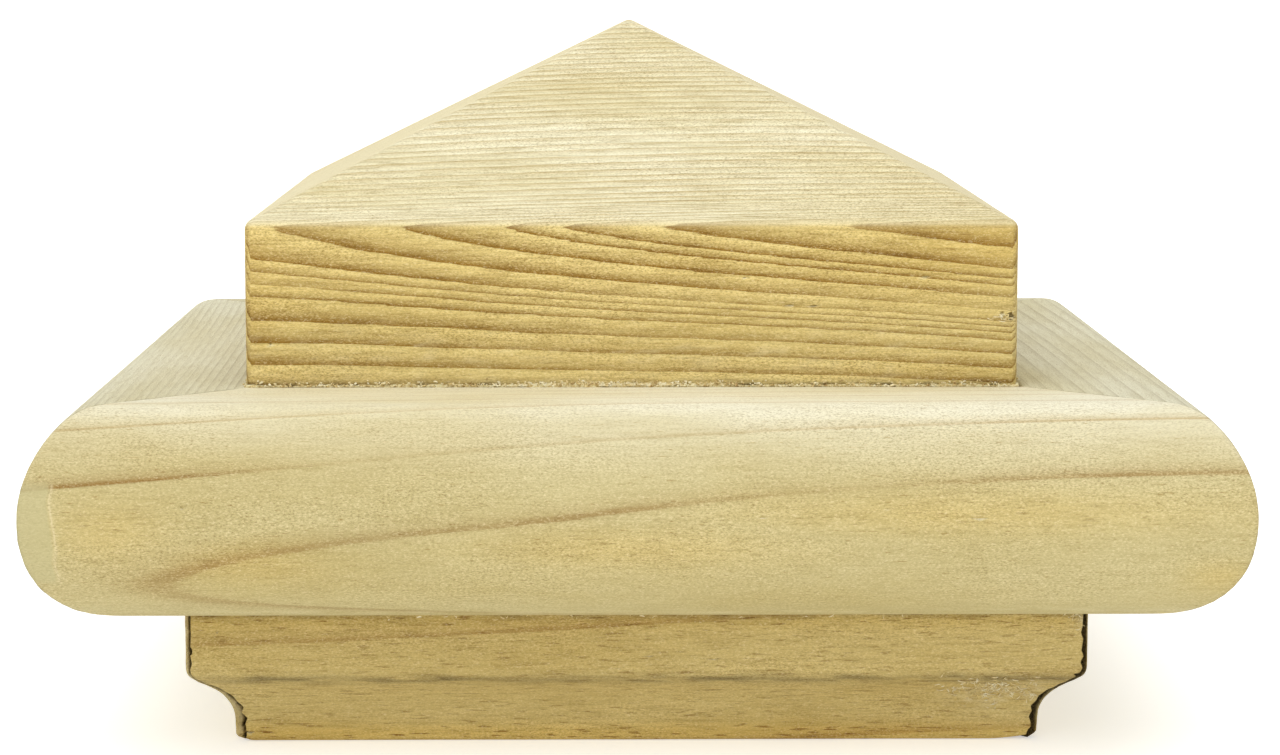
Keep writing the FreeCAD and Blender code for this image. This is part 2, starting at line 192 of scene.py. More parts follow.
class Timber:
    """How the growth rings lie in one stick of wood, in the stick's own frame with x along the grain.

    pith is the pith's (y, z) at x = 0. lean, bend and twist move it along the grain, by x / reach, its
    square and its cube. start is the radius where the first known ring begins, and years lists the widths
    of the known rings. All these are in millimetres. flare closes the rings up along the grain, and
    wander waves them.
    """

    def __init__(self, pith, lean, bend, twist, reach, start, years, seed, flare=(0, 0), wander=0.25):
        self.course = np.array([pith, lean, bend, twist]).T * MM
        self.reach, self.seed, self.flare, self.wander = reach * MM, seed, flare, wander
        early = start - np.arange(RINGS_BEFORE, 0, -1) * years[0]
        known = start + np.concatenate([[0], np.cumsum(years)])
        later = known[-1] + np.arange(1, RINGS_AFTER + 1) * np.mean(years[-5:])
        self.ends = np.concatenate([early, known, later]) * MM

    def ring_number(self, points):
        """How many rings lie between the pith and each point: whole numbers are ring ends."""
        along = points[:, 0] / self.reach
        powers = np.array([np.ones_like(along), along, along ** 2, along ** 3])
        centre = self.course @ powers
        radius = np.hypot(points[:, 1] - centre[0], points[:, 2] - centre[1])
        radius += (radius - FLARE_START) * (self.flare[0] * along + self.flare[1] * along ** 2)
        rings = np.interp(radius, self.ends, np.arange(len(self.ends)))
        return rings + self.wander * noise(points, (40, 9, 9), self.seed)


# ---------- shapes

def resample(outline, spacing, closed=True):
    """Points at even spacing along an outline of (across, up)."""
    ring = np.vstack([outline, outline[:1]]) if closed else outline
    lengths = np.hypot(*np.diff(ring, axis=0).T)
    travel = np.concatenate([[0], np.cumsum(lengths)])
    count = int(round(travel[-1] / spacing))
    stops = np.linspace(0, travel[-1], count, endpoint=not closed)
    return np.column_stack([np.interp(stops, travel, ring[:, axis]) for axis in (0, 1)])


def soften(outline, spacing, radius):
    """Round the corners of a closed, evenly spaced outline by about the radius."""
    reach = int(3 * radius / spacing)
    offsets = np.arange(-reach, reach + 1)
    weights = np.exp(-0.5 * (offsets * spacing / radius) ** 2)
    weights /= weights.sum()
    return sum(w * np.roll(outline, -o, axis=0) for w, o in zip(weights, offsets))


def section_outline(node):
    """The closed section of a moulding, as (across, up), read from the mitre face of its CAD node."""
    mesh = bmesh.new()
    mesh.from_mesh(node.data)
    bmesh.ops.remove_doubles(mesh, verts=mesh.verts, dist=0.002 * MM)
    on_mitre = {v for v in mesh.verts if abs(v.co.x + v.co.y) < 0.01 * MM}
    cap = {f for f in mesh.faces if all(v in on_mitre for v in f.verts)}
    rim = [e for e in mesh.edges if sum(f in cap for f in e.link_faces) == 1]
    loops = []
    while rim:
        edge = rim.pop()
        loop = [edge.verts[0], edge.verts[1]]
        while loop[-1] is not loop[0]:
            edge = next(e for e in rim if loop[-1] in e.verts)
            rim.remove(edge)
            loop.append(edge.other_vert(loop[-1]))
        loops.append([(-v.co.y, v.co.z) for v in loop[:-1]])
    mesh.free()
    return np.array(max(loops, key=len))


def outline_normals(outline):
    """Outward unit normals of a closed outline that runs clockwise or anticlockwise."""
    tangent = np.roll(outline, -1, axis=0) - np.roll(outline, 1, axis=0)
    tangent /= np.hypot(*tangent.T)[:, None]
    normal = np.column_stack([tangent[:, 1], -tangent[:, 0]])
    area = np.sum(outline[:, 0] * np.roll(outline[:, 1], -1) - outline[:, 1] * np.roll(outline[:, 0], -1))
    return normal if area > 0 else -normal


def add_object(name, data):
    obj = bpy.data.objects.new(name, data)
    bpy.context.scene.collection.objects.link(obj)
    return obj


def mesh_object(name, vertices, faces, material):
    mesh = bpy.data.meshes.new(name)
    mesh.from_pydata([tuple(v) for v in vertices], [], faces)
    mesh.materials.append(material)
    return add_object(name, mesh)


def grid_faces(rows, columns, closed=False):
    """Quads of a tube of rows of points. The last row of a closed tube joins its first."""
    faces = []
    for row in range(rows if closed else rows - 1):
        here, there = row * columns, (row + 1) % rows * columns
        for column in range(columns):
            following = (column + 1) % columns
            faces.append((here + column, here + following, there + following, there + column))
    return faces


def end_faces(outline, rows):
    """Triangles that close the two ends of a tube whose rows all have this outline."""
    triangles = tessellate_polygon([[Vector((a, b, 0)) for a, b in outline]])
    last = (rows - 1) * len(outline)
    return [tuple(t) for t in triangles] + [tuple(last + i for i in reversed(t)) for t in triangles]


def face_outwards(obj):
    mesh = bmesh.new()
    mesh.from_mesh(obj.data)
    bmesh.ops.recalc_face_normals(mesh, faces=mesh.faces)
    mesh.to_mesh(obj.data)
    mesh.free()


def set_attribute(obj, name, values):
    kind, key = ("FLOAT", "value") if np.ndim(values) == 1 else ("FLOAT_VECTOR", "vector")
    attribute = obj.data.attributes.new(name, kind, "POINT")
    attribute.data.foreach_set(key, np.ascontiguousarray(values, np.float32).ravel())


def vertex_array(obj, key="co"):
    """The place of every vertex, or with the key normal its direction."""
    values = np.empty(len(obj.data.vertices) * 3)
    obj.data.vertices.foreach_get(key, values)
    return values.reshape(-1, 3)


def station_list(count, half, edge_step):
    """Places from -1 to 1 along a piece, close together at both ends."""
    middle = np.linspace(-1, 1, count)
    end = 1 - np.arange(1, 7) ** 1.6 * edge_step / half
    return np.unique(np.concatenate([middle, end, -end]))


def spot(points, centre, size):
    """1 at the centre of a mark and 0 away from it. size is its reach along each axis."""
    offset = (points - np.array(centre) * MM) / (np.array(size) * MM)
    return np.exp(-np.sum(offset ** 2, axis=1))


def near(values, centre, width):
    """1 where a value is at the centre and 0 away from it. centre and width are in millimetres."""
    return np.exp(-((values - centre * MM) / (width * MM)) ** 2)


# ---------- cutting, relief and marks

def add_hole(lumps, centre, outward):
    """Add an uneven oval plug that cuts a punch hole, from just under a brad's head to outside the wood."""
    outward = Vector(outward).normalized()
    turn = outward.to_track_quat("Z", "Y").to_matrix().to_4x4()
    place = Matrix.Translation(Vector(centre)) @ turn
    rings = []
    for level, width in HOLE_ENDS:
        ring = []
        for step in range(HOLE_SIDES):
            angle = math.tau * step / HOLE_SIDES
            reach = width * (1 + 0.08 * math.sin(3.7 * step + centre[0] * 900))
            corner = Vector((reach * math.cos(angle) * 0.8, reach * math.sin(angle), level)) * MM
            ring.append(lumps.verts.new(place @ corner))
        rings.append(ring)
    low, high = rings
    for step in range(HOLE_SIDES):
        following = (step + 1) % HOLE_SIDES
        lumps.faces.new((low[step], low[following], high[following], high[step]))
    lumps.faces.new(low[::-1])
    lumps.faces.new(high)


def add_chip(lumps, place, size):
    """Add a small rough lump that cuts a torn hollow."""
    lump = bmesh.ops.create_icosphere(lumps, subdivisions=2, radius=1.0)["verts"]
    for number, vertex in enumerate(lump):
        rough = 1 + 0.22 * math.sin(number * 2.4) * math.cos(number * 1.3)
        vertex.co = Vector([p * MM + c * r * MM * rough for p, c, r in zip(place, vertex.co, size)])


def cut(obj, lumps):
    """Take separate closed lumps out of the object, and leave no modifier behind."""
    cutter_mesh = bpy.data.meshes.new("cutter")
    lumps.to_mesh(cutter_mesh)
    lumps.free()
    cutter = add_object("cutter", cutter_mesh)
    modifier = obj.modifiers.new("cut", "BOOLEAN")
    modifier.operation, modifier.solver, modifier.object = "DIFFERENCE", "EXACT", cutter
    graph = bpy.context.evaluated_depsgraph_get()
    result = bpy.data.meshes.new_from_object(obj.evaluated_get(graph))
    obj.modifiers.clear()
    clean = bmesh.new()
    clean.from_mesh(result)
    bmesh.ops.dissolve_degenerate(clean, dist=TINY, edges=clean.edges)
    clean.to_mesh(result)
    clean.free()
    obj.data = result
    bpy.data.objects.remove(cutter)


def surface_relief(points, timber):
    """Height of the surface: hard latewood stands proud, and the planing left shallow waves."""
    rings = timber.ring_number(points)
    phase = rings - np.floor(rings)
    hard = clamp((phase - 0.55) / 0.4) * clamp((1 - phase) / 0.05)
    fibre = noise(points, (6, 0.7, 0.7), timber.seed + 1)
    waves = noise(points, (14, 5, 5), timber.seed + 2)
    return RELIEF * (hard + 0.5 * fibre + 0.9 * waves)


def finish_wood(obj, timber, layers):
    """Give the mesh the attributes that the wood material reads.

    up is 1 where the surface looks up, and such faces are painted paler as sheen; stain is dirt and painted
    shade in cracks, creases and hollows; pale is bare or bruised fibre and painted highlights; glue is a
    film of glue and painted bounce light under the nose; tan is golden wood, and band is how strongly the
    rings show.
    """
    points = vertex_array(obj)
    up = clamp(vertex_array(obj, "normal")[:, 2]) ** 1.7
    set_attribute(obj, "ring", timber.ring_number(points))
    set_attribute(obj, "grain", points)
    set_attribute(obj, "up", up * up * (3 - 2 * up))
    for name in ("stain_and_shade", "pale", "glue_and_bounce", "tan", "band"):
        set_attribute(obj, name, clamp(layers.get(name, np.zeros(len(points)))))
    obj.data.shade_smooth()


# ---------- the mouldings

OUTLINE = section_outline(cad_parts["front_moulding"])

# The outside of the section below the nose, from the rim up.
SKIRT = OUTLINE[(OUTLINE[:, 0] > 47.5 * MM) & (OUTLINE[:, 1] > 0.1 * MM) & (OUTLINE[:, 1] < 17 * MM)]
SKIRT = SKIRT[np.argsort(SKIRT[:, 1])]


def skirt_across(height):
    """How far out the outside of the skirt is at a height."""
    return np.interp(height, SKIRT[:, 1], SKIRT[:, 0])


def moulding(side, turn, timber, gaps, material):
    """A moulding swept along x with mitred ends, then turned to its side of the cap.

    gaps gives, for its left and right mitres, how far they stand open at the rim and at the band, in mm.
    """
    outline = soften(resample(OUTLINE, SECTION_STEP / 3), SECTION_STEP / 3, SOFT_ARRIS)
    outline = resample(outline, SECTION_STEP)
    stations = station_list(STATIONS, outline[:, 0].max(), edge_step=0.12 * MM)
    if side == "front":
        stations = np.union1d(stations, SMEAR_STATIONS)
    points = swept_points(side, outline, stations, timber, gaps)
    faces = grid_faces(len(stations), len(outline)) + end_faces(outline, len(stations))
    obj = mesh_object(side + "_moulding_wood", points, faces, material)
    face_outwards(obj)
    obj.data.transform(Matrix.Rotation(turn, 4, "Z"))
    cut_holes_and_dents(obj, side)
    obj.data.transform(Matrix.Rotation(-turn, 4, "Z"))
    if side in OPEN_MITRES:
        open_crack(obj, *OPEN_MITRES[side])
    finish_wood(obj, timber, moulding_marks(side, vertex_array(obj), timber))
    obj.data.transform(Matrix.Rotation(turn, 4, "Z"))
    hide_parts(side + "_moulding")
    return obj


def swept_points(side, outline, stations, timber, gaps):
    """The section at every station, with its mitres' gaps, its relief and its worn edges."""
    place = np.repeat(stations, len(outline))
    across, up = np.tile(outline, (len(stations), 1)).T
    normal_across, normal_up = np.tile(outline_normals(outline), (len(stations), 1)).T
    slack = np.where(place < 0, mitre_opening(up, *gaps[0]), mitre_opening(up, *gaps[1]))
    torn = noise(np.column_stack([up, across, np.sign(place)]), (0.7, 0.7, 500), timber.seed)
    wedge = np.clip((across - across.min()) / (2.0 * MM), 0.1, 1)
    length = across - slack * wedge * (1 + 0.3 * torn)
    points = np.column_stack([place * length, -across, up])

    from_end = (1 - np.abs(place)) * length
    relief = surface_relief(points, timber)
    worn = 0.07 * MM * np.exp(-from_end / (0.25 * MM)) * (1 + noise(points, (1, 1, 1), timber.seed + 5))
    outer = clamp((across - across.min()) / (1.5 * MM))
    outward = np.column_stack([np.zeros(len(place)), -normal_across, normal_up])
    points += outward * (outer * (relief - worn))[:, None]
    points[:, 2] += rim_wear(side, place, from_end, across, up)
    return points


def mitre_opening(height, at_rim, at_band):
    """How open a mitre is at a height: widest at the rim, and tight all the way up the nose."""
    heights = np.array([0, 3, 8, 16.5, 19, 43]) * MM
    return np.interp(height, heights, [at_rim, at_rim, at_band, at_band, 0.1, 0.04]) * MM


def rim_wear(side, place, from_end, across, height):
    """How far the rim is worn upwards at the front corners."""
    low_part = clamp(1 - height / (2.2 * MM))
    if side == "front":
        return 0.45 * MM * low_part * clamp(1 - from_end / (4.5 * MM)) ** 1.5 * (place > 0)
    if side == "back":
        return 0
    front_end = place > 0 if side == "left" else place < 0
    corner = clamp(1 - (SKIRT[0, 0] - across) / MM)
    fading = clamp(1 - from_end / (14 * MM))
    return (0.65 if side == "left" else 0.9) * MM * low_part * corner * fading * front_end


def cut_holes_and_dents(obj, side):
    """Cut the punch holes over the heads of this side's brads, and the dents in the front moulding."""
    lumps = bmesh.new()
    for node_name in ("mitre_brads", "block_brads"):
        for centre, outward in brad_heads(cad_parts[node_name], side):
            add_hole(lumps, centre, outward)
    if side == "front":
        for place, size in FRONT_DENTS:
            add_chip(lumps, place, size)
    cut(obj, lumps)


def brad_heads(node, side):
    """Centre of the head and outward direction of each brad whose head is in this side's moulding."""
    heads = []
    for corners in loose_parts(node.data):
        centre = corners.mean(axis=0)
        direction = np.linalg.svd(corners - centre, full_matrices=False)[2][0]
        along = (corners - centre) @ direction
        ends = [corners[along > along.max() - 0.3 * MM], corners[along < along.min() + 0.3 * MM]]
        spread = [np.ptp(end, axis=0).max() for end in ends]
        head = ends[int(np.argmax(spread))].mean(axis=0)
        outward = direction if spread[0] > spread[1] else -direction
        if side_of(head) == side:
            heads.append((head, outward))
    return heads


def side_of(point):
    """The side of the cap that a point lies on."""
    reach = {"front": -point[1], "right": point[0], "back": point[1], "left": -point[0]}
    return max(reach, key=reach.get)


def loose_parts(mesh):
    """The vertices of each separate part of a mesh."""
    work = bmesh.new()
    work.from_mesh(mesh)
    bmesh.ops.remove_doubles(work, verts=work.verts, dist=0.001 * MM)
    seen, parts = set(), []
    for start in work.verts:
        if start in seen:
            continue
        seen.add(start)
        waiting, part = [start], []
        while waiting:
            vertex = waiting.pop()
            part.append(tuple(vertex.co))
            fresh = [v for v in (e.other_vert(vertex) for e in vertex.link_edges) if v not in seen]
            seen.update(fresh)
            waiting += fresh
        parts.append(np.array(part))
    work.free()
    return parts


def open_crack(obj, end, at_rim, at_band):
    """Cut the mitre face below the nose into small cells, and sink those that lie in the crack."""
    work = bmesh.new()
    work.from_mesh(obj.data)
    mitre = [f for f in work.faces if f.normal.x * end > 0.6 and f.calc_center_median().x * end > HALF]
    cuts = [((0, -1, 0), across) for across in CELLS_OUTWARDS]
    cuts += [((0, 0, 1), height) for height in CELLS_UPWARDS]
    geometry = list(dict.fromkeys(part for face in mitre for part in (face, *face.edges, *face.verts)))
    for direction, distance in cuts:
        place = Vector(direction) * distance * MM
        split = bmesh.ops.bisect_plane(work, geom=geometry, dist=TINY, plane_co=place, plane_no=direction)
        geometry = split["geom"]
    on_face = list(dict.fromkeys(part for part in geometry if isinstance(part, bmesh.types.BMVert)))
    sink = crack_share(np.array([v.co for v in on_face]), end, at_rim, at_band) * CRACK_DEPTH
    for vertex, depth in zip(on_face, sink):
        vertex.co.x -= end * depth
    work.to_mesh(obj.data)
    work.free()


def crack_share(points, end, at_rim, at_band):
    """1 inside the crack of an open mitre and 0 on the strip outside it."""
    x, y, z = points.T
    rough = noise(np.column_stack([z, y, z]), (0.45, 3, 2), 91)
    strip = np.interp(z, [3 * MM, 8 * MM], [at_rim, at_band]) * (1 + 0.3 * rough) * MM
    inward = clamp((skirt_across(z) + y - strip) / (0.12 * MM))
    closed = clamp((-y - 46.3 * MM) / (0.5 * MM)) * clamp((SKIRT_TOP - z) / (0.6 * MM))
    near_end = x * end > -y - 1.5 * MM
    return inward * closed * near_end


def moulding_marks(side, points, timber):
    """Marks on a moulding: darker mitres (dirt and painted shade), painted shade under the nose and along
    the step, painted bounce light on the nose's underside, and a tan skirt.
    """
    x, y, z = points.T
    to_mitre = (-y - np.abs(x)) / math.sqrt(2)
    rough = noise(points, (0.8, 0.8, 0.8), timber.seed + 7)
    fine = noise(points, (2.5, 0.5, 0.5), timber.seed + 8)
    outer = -y > 48.5 * MM
    skirt = -y < BAND_LIMIT
    # Mitres are painted darker low down, where the joint stands open, and deep in the joint near the block:
    # partly dirt, partly painted shade.
    dark = np.where(x < 0, *DARK_MITRES[side]) * np.interp(z, [17 * MM, 20 * MM, 36 * MM], [1, 0.6, 0.15])
    deep = clamp(1 - (-y - HALF) / (1.6 * MM)) * (z < 17 * MM)
    mitre = np.maximum(dark, deep) * clamp(1.3 - to_mitre / (0.3 * MM))
    # Painted shade: a dark band along the skirt's top, in the shade under the nose.
    under_nose = clamp((z - 15.0 * MM) / (2.2 * MM)) * (z < 17.6 * MM)
    crease_shade = outer * skirt * under_nose * (0.60 + 0.45 * fine)
    # Painted shade: a dark line along the step's lower edge, where the surface turns down away from the
    # light.
    step_edge_shade = outer * near(z, 8.4, 0.7) * (0.42 + 0.4 * fine)
    below = clamp((17.0 * MM - z) / MM)
    layers = {
        "stain_and_shade": np.maximum.reduce([mitre * (1 + 0.3 * rough), crease_shade, step_edge_shade]),
        # Painted bounce light: a pale line along the nose's lower arris, as if lit from the floor.
        "pale": 0.5 * near(z, 18.6, 0.5) * clamp(fine + 0.3) * outer,
        # Painted bounce light: a pale film along the nose's underside, standing for light from the floor.
        "glue_and_bounce": 0.4 * near(z, 18.9, 1.3) * (y < -56 * MM),
        "tan": below * skirt * (0.55 + 0.45 * near(z, 16.6, 1.6) + 0.45 * near(z, 0.8, 1.2)),
        "band": 0.55 + 0.45 * noise(points, (35, 12, 6), timber.seed + 9),
    }
    if side == "front":
        add_front_marks(layers, points)
    if side in OPEN_MITRES:
        end = OPEN_MITRES[side][0]
        sunk = crack_share(points, *OPEN_MITRES[side])
        # The strip of mitre face outside the crack is painted pale, as light falling on it, and the crack's
        # inside is painted dark, as shade.
        strip = clamp(1 - to_mitre / (0.12 * MM)) * (z < SKIRT_TOP) * (x * end > 0)
        layers["stain_and_shade"] = np.maximum(layers["stain_and_shade"] * (1 - strip), 1.2 * sunk)
        layers["pale"] = np.maximum(layers["pale"], strip * (1 - sunk) * (0.55 + 0.5 * rough))
    return layers


def add_front_marks(layers, points):
    """What only the front moulding shows: a glue smear at its left end, golden patches and torn fibre."""
    x, _, z = points.T
    edge = -66.2 * MM - 0.35 * MM * (z - 28 * MM) / (5 * MM)
    edge += 0.45 * MM * noise(points, (9, 9, 1.8), 71)
    tall = clamp((z - 22.5 * MM) / MM) * clamp((35 * MM - z) / MM)
    layers["glue_and_bounce"] = np.maximum(layers["glue_and_bounce"], tall * clamp((edge - x) / (0.3 * MM)))
    ridge = 0.6 * tall * near(x - edge, 0.15, 0.14)
    fuzz = noise(points, (1.2, 0.4, 0.4), 77)
    torn = spot(points, (43, -50, 6.5), (6, 4, 2.5)) + spot(points, (52.3, -53.4, 15.8), (1.2, 1, 1.2))
    layers["pale"] = np.maximum.reduce([layers["pale"], ridge, torn * clamp(fuzz + 0.2)])
    for place, size in FRONT_PATCHES:
        layers["tan"] = np.maximum(layers["tan"], 0.4 * spot(points, place, size))
    strong = 0.7 * near(x, -58, 14) * near(z, 34, 3) + 0.8 * near(x, -2, 12) * near(z, 28.5, 3.5)
    strong += 0.5 * near(x, 50, 18) * near(z, 36, 3) + 0.5 * near(x, -40, 14) * near(z, 24, 4)
    faint = 0.2 * near(x, -25, 22) * near(z, 32.5, 3.5)
    layers["band"] = 0.25 + 0.35 * noise(points, (30, 10, 5), 79) + strong - faint


# ---------- the block

def block(name, timber, material):
    """The pyramid block: rounded squares stacked up its side and slope, closed by a fan at each end."""
    profile = block_profile()
    square = unit_square(BLOCK_POINTS)
    rows, columns = len(profile), len(square)
    half, height = np.repeat(profile, columns, axis=0).T
    level = np.tile(square, (rows, 1)) * half[:, None]
    level = round_corners(level, half, np.minimum(0.8 * MM, 0.4 * half))
    points = np.column_stack([level, height])
    points = np.vstack([points, (0, 0, height[0]), (0, 0, height[-1])])
    faces = grid_faces(rows, columns)
    for first, middle in ((0, len(points) - 2), ((rows - 1) * columns, len(points) - 1)):
        faces += [(first + k, first + (k + 1) % columns, middle) for k in range(columns)]
    obj = mesh_object(name, points, faces, material)
    face_outwards(obj)
    points += vertex_array(obj, "normal") * surface_relief(points, timber)[:, None]
    obj.data.vertices.foreach_set("co", points.ravel())
    lumps = bmesh.new()
    for place, size in BLOCK_CHIPS:
        add_chip(lumps, place, size)
    cut(obj, lumps)
    finish_wood(obj, timber, block_marks(vertex_array(obj)))
    obj.data.transform(Matrix.Translation((BLOCK_SHIFT, 0, 0)))
    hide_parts("pyramid_block")
    return obj


def block_profile():
    """Half-width and height from the middle of the block's underside, round its eave and up to its peak."""
    step, low, peak = 0.12 * MM, BLOCK_LOW.z, BLOCK_HIGH.z
    profile = np.array([(0, low), (HALF, low), (HALF, EAVE), (0, peak), (-HALF, EAVE), (-HALF, low)])
    profile = soften(resample(profile, step), step, BLOCK_ARRIS)
    right = profile[profile[:, 0] >= -step / 2]
    order = np.argsort(np.arctan2(right[:, 1] - EAVE, right[:, 0]))
    profile = resample(right[order], BLOCK_STEP, closed=False)
    profile[0, 0] = profile[-1, 0] = 0.15 * MM
    underside = (profile[:, 1] <= low + 2 * step) & (profile[:, 0] <= HALF - 2 * MM)
    return profile[~underside | (np.arange(len(profile)) % 8 == 0)]


def block_marks(points):
    """Marks on the block: torn fibre round the chip, dirt along its arrises, a darker line along its foot,
    painted shade in the chips' hollows, a painted highlight along the eave, painted sheen on the end-grain
    slopes, a pencil dash.
    """
    x, y, z = points.T
    rough = noise(points, (1.4, 0.45, 0.45), 61)
    side = np.maximum(np.abs(x), np.abs(y))
    foot = near(z, 42.6, 0.5) * (0.6 + 0.6 * rough)
    arris = near(np.minimum(np.abs(x), np.abs(y)) - HALF, 0, 0.35) * (z < EAVE - 0.3 * MM)
    dirty_arris = 0.6 * arris * (0.35 + 0.5 * rough)
    dash = spot(points, (-18.5, -46, 45.4), (2.2, 1, 0.12)) + spot(points, (-15.6, -46, 45.3), (0.9, 1, 0.1))
    # Painted shade: the chips' hollows on the block's sides are painted dark.
    hollow = sum(spot(points, place, [1.1 * r for r in size]) for place, size in BLOCK_CHIPS)
    inside = clamp((HALF - side) / (0.12 * MM)) * (z < EAVE - 1.1 * MM) * (z > 43 * MM)
    chip = spot(points, (44.6, -46, 50.9), (0.9, 1, 0.7)) * clamp(rough + 0.4)
    # Painted highlight: the eave's arris is painted paler.
    worn = near(z - EAVE, 0, 0.35) * near(side - HALF, 0, 0.5)
    fuzz = clamp(rough - 0.2) * (y < -45.5 * MM) * near(z, 46, 4.5)
    # Painted sheen: the end-grain slopes at the left and right, seen at a grazing angle, are painted paler.
    end_grain_sheen = (np.abs(x) > np.abs(y)) * (z > EAVE + 0.2 * MM)
    deep = near(z, 58, 5.5) * 0.55 + near(x, 44, 10) * near(z, 60, 2.5) * 0.5 + near(x, -46, 5) * 0.4
    light_line = near(z + 0.03 * x, 53.4, 1.4)
    uneven = noise(points, (25, 8, 8), 63)
    return {
        "stain_and_shade": np.maximum.reduce([foot, dirty_arris, dash * 0.6, clamp(hollow) * inside]),
        "pale": np.maximum.reduce([chip, worn * 0.6, 0.5 * fuzz, 0.8 * end_grain_sheen]),
        "tan": 0.35 * deep * (z < EAVE - 0.1 * MM),
        "band": 0.8 + 0.25 * deep + 0.3 * uneven - 0.35 * light_line,
    }


def unit_square(count):
    """Points round a square of half-width 1, count to a side, closer together near the corners."""
    edge = np.sin(np.linspace(-1, 1, count, endpoint=False) * math.pi / 2)
    edge = 0.35 * edge + 0.65 * np.linspace(-1, 1, count, endpoint=False)
    one = np.ones(count)
    return np.vstack([np.column_stack([edge, -one]), np.column_stack([one, edge]),
                      np.column_stack([-edge, one]), np.column_stack([-one, -edge])])


def round_corners(points, half, radius):
    """Pull the corners of squares of the given half-widths in to the given radii."""
    sign = np.sign(points)
    inner = (half - radius)[:, None]
    over = np.abs(points) - inner
    both = (over > 0).all(axis=1)
    reach = np.hypot(*over[both].T)
    limit = np.minimum(radius[both] / np.maximum(reach, 1e-12), 1.0)
    rounded = points.copy()
    rounded[both] = sign[both] * (inner[both] + over[both] * limit[:, None])
    return rounded


# ---------- materials

class Graph:
    """Short calls for the shader nodes that the materials use."""

    def __init__(self, name):
        self.material = bpy.data.materials.new(name)
        self.material.use_nodes = True
        self.tree = self.material.node_tree
        self.shader = self.tree.nodes["Principled BSDF"]

    def feed(self, socket, value):
        if isinstance(value, bpy.types.NodeSocket):
            self.tree.links.new(value, socket)
        else:
            socket.default_value = value

    def set(self, name, value):
        """Set or link an input of the material's shader."""
        self.feed(self.shader.inputs[name], value)

    def attribute(self, name, output="Fac"):
        node = self.tree.nodes.new("ShaderNodeAttribute")
        node.attribute_name = name
        return node.outputs[output]

    def math(self, operation, first, second=0.0, clamp=False):
        node = self.tree.nodes.new("ShaderNodeMath")
        node.operation, node.use_clamp = operation, clamp
        self.feed(node.inputs[0], first)
        self.feed(node.inputs[1], second)
        return node.outputs[0]

    def times(self, first, second):
        return self.math("MULTIPLY", first, second)

    def stretch(self, vector, scale, shift=(0, 0, 0)):
        node = self.tree.nodes.new("ShaderNodeMapping")
        self.feed(node.inputs["Vector"], vector)
        node.inputs["Scale"].default_value = scale
        node.inputs["Location"].default_value = shift
        return node.outputs[0]

    def fibres(self, along, across, shift=(0, 0, 0), **how):
        """Noise with this many waves to the metre along the grain and across it."""
        grain = self.attribute("grain", "Vector")
        return self.noise(self.stretch(grain, (along, across, across), shift), **how)

    def noise(self, vector, detail=3.0, roughness=0.55):
        node = self.tree.nodes.new("ShaderNodeTexNoise")
        self.feed(node.inputs["Vector"], vector)
        node.inputs["Scale"].default_value = 1.0
        node.inputs["Detail"].default_value = detail
        node.inputs["Roughness"].default_value = roughness
        return node.outputs["Fac"]

    def ramp(self, factor, stops):
        """A ramp through (place, value) stops, where a value is a number or a colour."""
        node = self.tree.nodes.new("ShaderNodeValToRGB")
        elements = node.color_ramp.elements
        while len(elements) < len(stops):
            elements.new(0.5)
        for element, (place, value) in zip(elements, stops):
            element.position = place
            element.color = (*value, 1) if np.ndim(value) else (value, value, value, 1)
        self.feed(node.inputs["Fac"], factor)
        return node.outputs["Color"]

    def mix(self, factor, first, second, blend="MIX"):
        node = self.tree.nodes.new("ShaderNodeMix")
        node.data_type, node.blend_type = "RGBA", blend
        self.feed(node.inputs["Factor"], factor)
        for socket, value in ((node.inputs["A"], first), (node.inputs["B"], second)):
            self.feed(socket, (*value, 1) if isinstance(value, tuple) and len(value) == 3 else value)
        return node.outputs["Result"]

    def bump(self, height, distance, strength):
        node = self.tree.nodes.new("ShaderNodeBump")
        self.feed(node.inputs["Height"], height)
        node.inputs["Distance"].default_value = distance
        node.inputs["Strength"].default_value = strength
        return node.outputs["Normal"]


def linear(red, green, blue):
    """A colour given as 0-255 screen values, as the linear values that shaders use."""
    def one(value):
        value /= 255
        return value / 12.92 if value <= 0.04045 else ((value + 0.055) / 1.055) ** 2.4
    return (one(red), one(green), one(blue))


